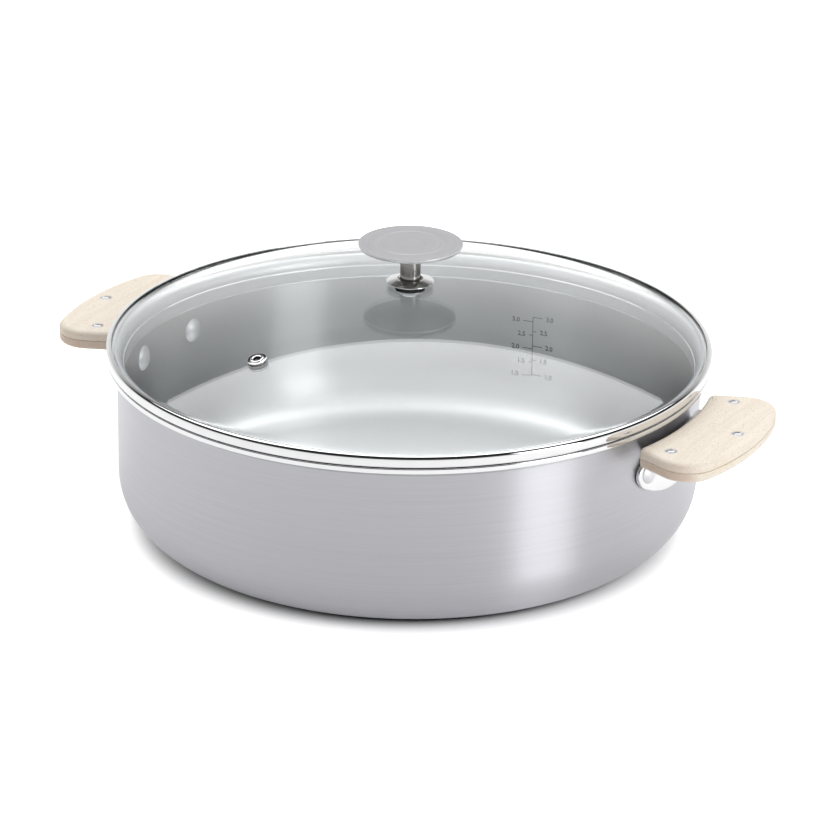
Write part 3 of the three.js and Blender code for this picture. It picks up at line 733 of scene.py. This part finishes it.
def makeKnob():
    s = knob
    top = s["discTop"]
    half = s["ringWidth"] / 2
    disc = turned([
        ("start", 0, s["discLow"]),
        ("line", s["disc"], s["discLow"], s["discUnder"]),
        ("line", s["disc"], top, s["discEdge"]),
        ("line", s["ring"] + half, top, s["ringEdge"]),  # a shallow pressed ring
        ("line", s["ring"], top - s["ringDepth"], s["ringEdge"]),
        ("line", s["ring"] - half, top, s["ringEdge"]),
        ("line", 0, top),
    ], s["discSides"])
    finishPiece(disc, "knobDisc", "satin", "lid", ["knob_disc"])

    stem = turned([
        ("start", 0, s["stemLow"]),
        ("line", s["stem"], s["stemLow"], s["stemFoot"]),
        ("line", s["stem"], s["stemTop"], s["stemNeck"]),
        ("line", 0, s["stemTop"]),
    ], s["stemSides"])
    finishPiece(stem, "knobStem", "satin", "lid", ["knob_stem"])

    base = turned([
        ("start", lid["hole"], s["baseLow"]),
        ("line", s["foot"], s["baseLow"], s["footRound"]),
        ("line", s["flare"], s["flareLow"], s["flareUnder"]),
        ("line", s["flare"], s["flareTop"], s["flareRound"]),
        ("line", s["mouth"] + s["brim"], s["coneTop"], s["brimOuter"]),
        ("line", s["mouth"], s["coneTop"], s["brimInner"]),
        ("line", s["mouth"], s["baseFloor"], s["floorRound"]),
        ("line", lid["hole"], s["baseFloor"]),
        ("close",),
    ], s["baseSides"])
    finishPiece(base, "knobCone", "polished", "lid", ["knob_base"])

    finishPiece(plainRing(lid["hole"], *s["gasket"]), "knobGasket", "rubber", "lid", ["knob_gasket"])
    finishPiece(plainRing(lid["hole"], *s["seal"]), "screwSeal", "rubber", "lid", ["screw_gasket"])
    finishPiece(plainRing(lid["hole"], *s["washer"]), "screwWasher", "polished", "lid", ["screw_washer"])

    screw = turned([
        ("start", 0, s["headLow"]),
        ("line", s["head"] * s["crown"], s["headLow"] + s["crownRise"], s["crownRound"]),
        ("line", s["head"], s["headLow"] + s["cheekRise"], s["cheekRound"]),
        ("line", s["head"], s["headTop"], s["headEdge"]),
        ("line", s["screw"], s["headTop"]),
        ("line", s["screw"], s["screwTop"], s["screwEnd"]),
        ("line", 0, s["screwTop"]),
    ], s["screwSides"])
    bolt = finishPiece(screw, "knobScrew", "polished", "lid", ["knob_screw"])
    low = Matrix.Translation((0, 0, s["headLow"]))
    for turn in (0, math.pi / 2):  # cross recess
        recess = bmesh.new()
        place = low @ Matrix.Rotation(turn, 4, "Z") @ Matrix.Diagonal((*s["slot"], 1))
        bmesh.ops.create_cube(recess, size=1, matrix=place)
        carve(bolt, recess)
    print("knob stacked")


makeKnob()


handle = {
    "inner": 147.0, "depth": 35.8, "low": 71.0, "top": 80.6,
    "parting": 75.8, "partingGap": 0.15, "partingEase": 0.3, "round": {"upper": 2.6, "lower": 2.2},
    "roundCuts": 7, "easeCuts": 2, "flatRim": 0.25,
    "innerHalf": 39.0, "outerHalf": 51.5, "bulge": 135.0,
    "innerCorner": 3.6, "outerCorner": 17.0, "leastCorner": 0.6, "cornerShare": 0.96, "arcSteps": 30,
    "tangInset": 4.0, "tangLow": 74.8, "tangTop": 76.8,
}
bulgeCentre = handle["inner"] + handle["depth"] - handle["bulge"]


# Outline of a handle seen from above, on the +X side and drawn in by inset
def handleOutline(inset, height):
    s = handle
    inner, bulge = s["inner"] + inset, s["bulge"] - inset
    innerHalf, outerHalf = s["innerHalf"] - inset, s["outerHalf"] - inset
    innerCut, outerCut = max(s["innerCorner"] - inset, s["leastCorner"]), s["outerCorner"] - inset
    innerSpan = math.asin(innerHalf / inner) - innerCut / inner
    outerSpan = math.asin(outerHalf / bulge) - outerCut / bulge
    bm = bmesh.new()
    place = (inner * math.cos(innerSpan), -inner * math.sin(innerSpan), height)
    start = bmesh.ops.create_vert(bm, co=place)["vert"][0]
    spun = bmesh.ops.spin(bm, geom=[start], cent=(0, 0, height), axis=(0, 0, 1),
                          angle=2 * innerSpan, steps=s["arcSteps"])
    last = spun["geom_last"][0]
    corners = []

    def lineTo(x, y, cut=None):
        nonlocal last
        last = bmesh.ops.extrude_vert_indiv(bm, verts=[last])["verts"][0]
        last.co = (x, y, height)
        if cut:
            corners.append((last, cut))

    innerX = math.sqrt(inner ** 2 - innerHalf ** 2)
    outerX = bulgeCentre + math.sqrt(bulge ** 2 - outerHalf ** 2)
    innerCut, outerCut = innerCut * s["cornerShare"], outerCut * s["cornerShare"]
    lineTo(innerX, innerHalf, innerCut)
    lineTo(outerX, outerHalf, outerCut)
    lineTo(bulgeCentre + bulge * math.cos(outerSpan), bulge * math.sin(outerSpan))
    spun = bmesh.ops.spin(bm, geom=[last], cent=(bulgeCentre, 0, height), axis=(0, 0, 1),
                          angle=-2 * outerSpan, steps=s["arcSteps"])
    last = spun["geom_last"][0]
    lineTo(outerX, -outerHalf, outerCut)
    lineTo(innerX, -innerHalf, innerCut)
    bm.edges.new((last, start))
    for corner, cut in corners:
        roundCorner(bm, corner, cut)
    bmesh.ops.remove_doubles(bm, verts=bm.verts, dist=drawing["outlineMerge"])
    return bm


# Outline pulled up into a plate
def plateFrom(bm, thickness):
    face = bmesh.ops.contextual_create(bm, geom=bm.edges[:])["faces"][0]
    pulled = bmesh.ops.extrude_face_region(bm, geom=[face])["geom"]
    lifted = [g for g in pulled if isinstance(g, bmesh.types.BMVert)]
    bmesh.ops.translate(bm, vec=(0, 0, thickness), verts=lifted)
    bmesh.ops.recalc_face_normals(bm, faces=bm.faces)
    return bm


# The edges or faces that lie level at a height
def levelAt(parts, height):
    return [p for p in parts if all(abs(v.co.z - height) < drawing["level"] for v in p.verts)]


def easeEdges(bm, edges, offset, segments):
    bmesh.ops.bevel(bm, geom=edges, offset=offset, offset_type="OFFSET", segments=segments, profile=0.5,
                    affect="EDGES", material=-1, clamp_overlap=False)


# Insets a narrow rim in a flat face so that it shades flat to its edge
def keepFlat(bm, height):
    flat = levelAt(bm.faces, height)
    bmesh.ops.inset_region(bm, faces=flat, thickness=handle["flatRim"], use_even_offset=True)


grip = {
    "pair": (156.5, 34.7), "single": (174.3, 0.0),  # places on the handle
    "head": 2.85, "shank": 1.9, "headDeep": 1.5, "dish": 0.75, "rimWidth": 0.42, "gap": 0.12, "sunk": 0.04,
    "dishShare": 0.7, "dishRound": 0.5, "cupRound": 0.15, "headRound": 0.12, "headUnder": 0.1,
    "drill": 30.0, "segments": 48,
}
gripPlaces = {
    "front": (grip["pair"][0], -grip["pair"][1]),
    "back": grip["pair"],
    "outer": grip["single"],
}


def makeWood(side, turn):
    s = handle
    bore = grip["head"] + grip["gap"]
    halves = (
        ("upper", s["parting"] + s["partingGap"], s["top"], s["top"]),
        ("lower", s["low"], s["parting"] - s["partingGap"], s["low"]),
    )
    for level, low, top, outerFace in halves:
        wood = plateFrom(handleOutline(0, low), top - low)
        partingFace = low if level == "upper" else top
        easeEdges(wood, levelAt(wood.edges, outerFace), s["round"][level], s["roundCuts"])
        easeEdges(wood, levelAt(wood.edges, partingFace), s["partingEase"], s["easeCuts"])
        keepFlat(wood, outerFace)
        manySided = [f for f in wood.faces if len(f.verts) > 4]
        bmesh.ops.triangulate(wood, faces=manySided)  # drilling needs simple faces
        name, node = f"grip{level.title()}{side.title()}", f"handle_wood_{level}_{side}"
        block = finishPiece(wood, name, "beech", "pan", [node], turn)
        drill = bmesh.new()
        for x, y in gripPlaces.values():
            addDrill(drill, bore, grip["drill"], Matrix.Translation((x, y, s["parting"])))
        carve(block, drill, turn)


def makeGripRivets(side, turn):
    s, low, top = grip, handle["low"], handle["top"]
    cup = s["head"] - s["rimWidth"]
    half = [  # both ends are alike: radius, depth under the wood's face, rounding
        (0, s["dish"]),
        (cup * s["dishShare"], s["dish"], s["dishRound"]),
        (cup, s["sunk"], s["cupRound"]),
        (s["head"], s["sunk"], s["headRound"]),
        (s["head"], s["headDeep"], s["headUnder"]),
        (s["shank"], s["headDeep"]),
    ]
    section = [("line", radius, low + deep, *rounding) for radius, deep, *rounding in half]
    section += [("line", radius, top - deep, *rounding) for radius, deep, *rounding in reversed(half)]
    section[0] = ("start", 0, low + s["dish"])
    for end, (x, y) in gripPlaces.items():
        rivet = turned(section, s["segments"])
        name, node = f"gripRivet{end.title()}{side.title()}", f"grip_rivet_{end}_{side}"
        finishPiece(rivet, name, "satin", "pan", [node], turn @ Matrix.Translation((x, y, 0)))


bracket = {
    "inner": 141.3, "sheet": 2.0, "half": 31.8, "low": 48.3, "belly": 57.0, "corner": 6.0,
    "neckHalf": 26.5, "shoulder": (64.5, 69.5), "shoulderCut": 2.2, "neckEnd": 155.0,
    "bend": 5.0, "bendStart": 71.8, "cornerShare": 0.95,
    "edge": 0.4, "edgeCuts": 3, "edgeTurn": 1.1,  # radians past which an edge is eased
    "across": 32, "up": 12, "round": 10, "arcSteps": 28,  # cuts that let the sheet bend
}


# Where a point of the flat blank comes to lie once the sheet is bent: width across, length along
def bendBlank(across, along):
    s = bracket
    past = along - s["bendStart"]
    quarter = s["bend"] * math.pi / 2
    if past <= 0:
        radius, height = s["inner"], along
    elif past < quarter:
        angle = past / s["bend"]
        radius = s["inner"] + s["bend"] * (1 - math.cos(angle))
        height = s["bendStart"] + s["bend"] * math.sin(angle)
    else:
        radius = s["inner"] + s["bend"] + past - quarter
        height = s["bendStart"] + s["bend"]
    angle = across / s["inner"]
    return Vector((radius * math.cos(angle), radius * math.sin(angle), height))


def makeBracket(side, turn):
    s = bracket
    centre = s["low"] + s["belly"]
    whole = math.asin(s["half"] / s["belly"])
    span = whole - s["corner"] / s["belly"]
    cornerHeight = centre - s["belly"] * math.cos(whole)
    quarter = s["bend"] * math.pi / 2
    end = s["bendStart"] + quarter + s["neckEnd"] - s["inner"] - s["bend"]
    sheet = bmesh.new()
    place = (0, -s["belly"] * math.sin(span), centre - s["belly"] * math.cos(span))
    start = bmesh.ops.create_vert(sheet, co=place)["vert"][0]
    spun = bmesh.ops.spin(sheet, geom=[start], cent=(0, 0, centre), axis=(1, 0, 0),
                          angle=2 * span, steps=s["arcSteps"])
    last = spun["geom_last"][0]
    corners = []
    shoulderLow, shoulderTop = s["shoulder"]
    half = [
        (s["half"], cornerHeight, s["corner"] * s["cornerShare"]),
        (s["half"], shoulderLow, s["shoulderCut"]),
        (s["neckHalf"], shoulderTop, s["shoulderCut"]),
        (s["neckHalf"], end, 0),
    ]
    for y, z, cut in half + [(-y, z, cut) for y, z, cut in reversed(half)]:
        last = bmesh.ops.extrude_vert_indiv(sheet, verts=[last])["verts"][0]
        last.co = (0, y, z)
        if cut:
            corners.append((last, cut))
    sheet.edges.new((last, start))
    for corner, cut in corners:
        roundCorner(sheet, corner, cut)
    bmesh.ops.remove_doubles(sheet, verts=sheet.verts, dist=drawing["outlineMerge"])
    bmesh.ops.contextual_create(sheet, geom=sheet.edges[:])
    for i in range(1, s["across"]):
        cutBy(sheet, (0, -s["half"] + 2 * s["half"] * i / s["across"], 0), (0, 1, 0))
    heights = [s["low"] + (s["bendStart"] - s["low"]) * i / s["up"] for i in range(1, s["up"] + 1)]
    heights += [s["bendStart"] + quarter * i / s["round"] for i in range(1, s["round"] + 1)]
    for height in heights:
        cutBy(sheet, (0, 0, height), (0, 0, 1))
    for vert in sheet.verts:
        vert.co = bendBlank(vert.co.y, vert.co.z)
    bmesh.ops.recalc_face_normals(sheet, faces=sheet.faces)
    tongueFace = min(sheet.faces, key=lambda f: f.calc_center_median().z)
    if tongueFace.normal.x > 0:  # the sheet thickens away from the wall
        bmesh.ops.reverse_faces(sheet, faces=sheet.faces[:])
    bmesh.ops.solidify(sheet, geom=sheet.faces[:], thickness=s["sheet"])
    bmesh.ops.recalc_face_normals(sheet, faces=sheet.faces)
    rimEdges = [e for e in sheet.edges if len(e.link_faces) == 2 and e.calc_face_angle() > s["edgeTurn"]]
    easeEdges(sheet, rimEdges, s["edge"], s["edgeCuts"])

    tangLow, tangTop = handle["tangLow"], handle["tangTop"]
    joinTo(sheet, plateFrom(handleOutline(handle["tangInset"], tangLow), tangTop - tangLow))
    finishPiece(sheet, f"bracket{side.title()}", "polished", "pan", [f"handle_bracket_{side}"], turn)


wallRivet = {
    "spread": 9.55, "height": 62.5, "shank": 3.0,  # spread is in degrees
    "innerHead": 6.2, "innerSeat": 138.75, "innerCrown": 136.15, "innerRim": 0.3,
    "outerHead": 5.4, "outerSeat": 143.4, "outerCrown": 145.4, "outerRim": 0.1,
    "innerRound": 0.3, "outerRound": 0.1, "segments": 64, "arcSteps": 10,
}


def capSize(radius, rise):
    return (radius ** 2 + rise ** 2) / (2 * rise)


def makeWallRivets(side, turn):
    s = wallRivet
    innerSize = capSize(s["innerHead"], s["innerSeat"] - s["innerCrown"])
    outerSize = capSize(s["outerHead"], s["outerCrown"] - s["outerSeat"])
    innerSwing = math.degrees(math.asin(s["innerHead"] / innerSize))
    outerSwing = math.degrees(math.asin(s["outerHead"] / outerSize))
    innerBack, outerBack = s["innerSeat"] + s["innerRim"], s["outerSeat"] - s["outerRim"]
    level = Matrix.Translation((0, 0, s["height"])) @ Matrix.Rotation(math.pi / 2, 4, "Y")
    for end, spread in (("front", -s["spread"]), ("back", s["spread"])):
        rivet = turned([
            ("start", 0, s["innerCrown"]),
            ("arc", s["innerCrown"] + innerSize, -innerSwing, s["innerRound"]),
            ("line", s["innerHead"], innerBack),
            ("line", s["shank"], innerBack),
            ("line", s["shank"], outerBack),
            ("line", s["outerHead"], outerBack),
            ("line", s["outerHead"], s["outerSeat"], s["outerRound"]),
            ("arc", s["outerCrown"] - outerSize, -outerSwing),
        ], s["segments"], arcSteps=s["arcSteps"])
        place = turn @ Matrix.Rotation(math.radians(spread), 4, "Z") @ level
        name, node = f"wallRivet{end.title()}{side.title()}", f"wall_rivet_{end}_{side}"
        finishPiece(rivet, name, "satin", "pan", [node], place)


for side, angle in (("right", 0), ("left", math.pi)):
    turn = Matrix.Rotation(angle, 4, "Z")
    makeWood(side, turn)
    makeGripRivets(side, turn)
    makeBracket(side, turn)
    makeWallRivets(side, turn)
    print("handle fitted:", side)


studio = {
    "turn": 28.7,  # the photograph's camera stands this far round from -Y
    "elevation": 23.85, "distance": 1.9522, "tip": -1.477, "swing": 0.065, "roll": 0.732,
    "lens": 173.14, "sensor": 36.0, "farthest": 50.0,
    "ambient": 0.62, "skyFront": 0.03, "skyBack": 0.3, "horizon": 0.95,
    "fade": (0.22, 0.58), "gap": (0.575, 0.61), "backdrop": (0.55, 0.85), "horizonTop": (0.16, 0.26),
    "litBack": (0.82, 0.95), "litFront": (-0.5, 0.35), "roomSides": 0.1, "bounced": (0.2, 0.8),
    "floor": 0.9, "floorDrop": 0.0002, "floorSize": 4, "floorGlow": 0.75, "floorGloss": 0.22,
    "coreShade": 0.35, "veilShade": 0.22,  # lightness left in the core, and lightness that the veil takes
    "contact": {"place": (-0.002, 0), "reach": (0.116, 0.143)},
    "core": {"place": (-0.008, -0.001), "reach": (0.113, 0.13)},
    "veil": {"place": (0.03, 0.005), "reach": (0.1, 0.155)},
}
fromPhoto = Matrix.Rotation(math.radians(studio["turn"]), 4, "Z")


def makeCamera():
    s = studio
    elevation = math.radians(s["elevation"])
    eye = fromPhoto @ Vector((0, -s["distance"] * math.cos(elevation), s["distance"] * math.sin(elevation)))
    look = (fromPhoto @ Matrix.Rotation(math.pi / 2 - elevation - math.radians(s["tip"]), 4, "X")
            @ Matrix.Rotation(-math.radians(s["swing"]), 4, "Y")
            @ Matrix.Rotation(math.radians(s["roll"]), 4, "Z"))
    data = bpy.data.cameras.new("camera")
    data.lens = s["lens"]
    data.sensor_width = s["sensor"]
    data.clip_end = s["farthest"]
    camera = bpy.data.objects.new("camera", data)
    camera.matrix_world = Matrix.Translation(eye) @ look
    bpy.context.scene.collection.objects.link(camera)
    bpy.context.scene.camera = camera


# Soft boxes in the photograph's own directions: x right, y away from the camera
lamps = {
    "backBox": {
        "place": (0.03, 0.59, 1.1177), "aim": (0.07, 0.213, 0.0927), "size": (1.66, 0.767), "radiance": 2.5},
    "sideCard": {
        "place": (0.72, -0.61, 0.4), "aim": (0, 0, 0.4), "size": (0.36, 0.8), "radiance": 3.15},
}


def makeLamps():
    for name, s in lamps.items():
        data = bpy.data.lights.new(name, "AREA")
        data.shape = "RECTANGLE"
        data.size, data.size_y = s["size"]
        data.energy = s["radiance"] * math.pi * data.size * data.size_y
        lamp = bpy.data.objects.new(name, data)
        place, aim = fromPhoto @ Vector(s["place"]), fromPhoto @ Vector(s["aim"])
        look = (aim - place).to_track_quat("-Z", "Y").to_matrix().to_4x4()
        lamp.matrix_world = Matrix.Translation(place) @ look
        lamp.visible_camera = False
        bpy.context.scene.collection.objects.link(lamp)


# 1 for rays from the camera, straight or through the glass
def seenBy(rays):
    camera = rays.pick("Is Camera Ray")
    return camera.maths("MAXIMUM", camera, rays.pick("Is Transmission Ray"))


def makeWorld():
    s = studio
    turn = math.radians(s["turn"])
    world = bpy.data.worlds.new("studio")
    bpy.context.scene.world = world
    world.use_nodes = True
    world.node_tree.nodes.clear()
    root = Flow(world.node_tree)
    rays = root.add("LightPath")
    way = root.add("SeparateXYZ", None, {"Vector": root.add("TexCoord").pick("Generated")})
    forward = way.pick("Y") * math.cos(turn) - way.pick("X") * math.sin(turn)
    up = way.pick("Z")
    # the backdrop fades upwards, and a dark gap is left under the back box
    backdrop = s["skyBack"] + (s["horizon"] - s["skyBack"]) * (1 - up.between(*s["fade"]))
    backdrop = backdrop * (1 - up.between(*s["gap"]))
    sky = s["skyFront"] + backdrop * forward.between(*s["backdrop"])
    mirrored = s["horizon"] + (sky - s["horizon"]) * up.between(*s["horizonTop"])
    seen = seenBy(rays)
    glossy = rays.pick("Is Glossy Ray") * (1 - seen)
    # what the pan's steel mirrors through the glass is bright behind and in front, dark at the sides
    around = forward / (1 - up * up) ** 0.5  # 1 straight behind the pan, -1 straight in front
    lit = around.maths("MAXIMUM", around.between(*s["litBack"]), 1 - around.between(*s["litFront"]))
    fromSteel = rays.pick("Is Transmission Ray") * rays.pick("Glossy Depth").between(*s["bounced"])
    shade = 1 - fromSteel * (1 - s["roomSides"]) * (1 - lit)
    level = seen * shade + glossy * mirrored + (1 - seen) * (1 - glossy) * s["ambient"]
    light = root.add("Background", None, {"Color": (1, 1, 1, 1), "Strength": level})
    root.add("OutputWorld", None, {"Surface": light})


def makeFloor():
    s = studio
    sheet = bmesh.new()
    place = Matrix.Translation((0, 0, -s["floorDrop"]))
    bmesh.ops.create_grid(sheet, x_segments=2, y_segments=2, size=s["floorSize"], matrix=place)
    mesh = bpy.data.meshes.new("floor")
    sheet.to_mesh(mesh)
    sheet.free()
    material, root = newMaterial("paleFloor")
    rays = root.add("LightPath")
    x, y, z = axesOf(root)

    def outside(ring):
        centre = fromPhoto @ Vector((*ring["place"], 0))
        away = ((x - centre.x) * (x - centre.x) + (y - centre.y) * (y - centre.y)) ** 0.5
        return away.between(*ring["reach"])

    # the sheet is bright except close to the pan: a shadow, darkest at the left, and a thin veil at the right
    clear = outside(s["contact"]) - s["veilShade"] * (1 - outside(s["veil"]))
    bare = s["coreShade"] + (1 - s["coreShade"]) * outside(s["core"])
    matte = root.add("BsdfDiffuse", None, {"Color": s["floor"] * bare})
    glowing = seenBy(rays) * s["floorGlow"] + rays.pick("Is Glossy Ray") * s["floorGloss"]
    glow = root.add("Emission", None, {"Strength": clear * glowing})
    root.add("OutputMaterial", None, {"Surface": root.add("AddShader", None, {0: matte, 1: glow})})
    mesh.materials.append(material)
    floor = bpy.data.objects.new("floor", mesh)
    bpy.context.scene.collection.objects.link(floor)


makeCamera()
makeLamps()
makeWorld()
makeFloor()
bpy.context.scene.view_settings.view_transform = "Standard"
print("studio set")
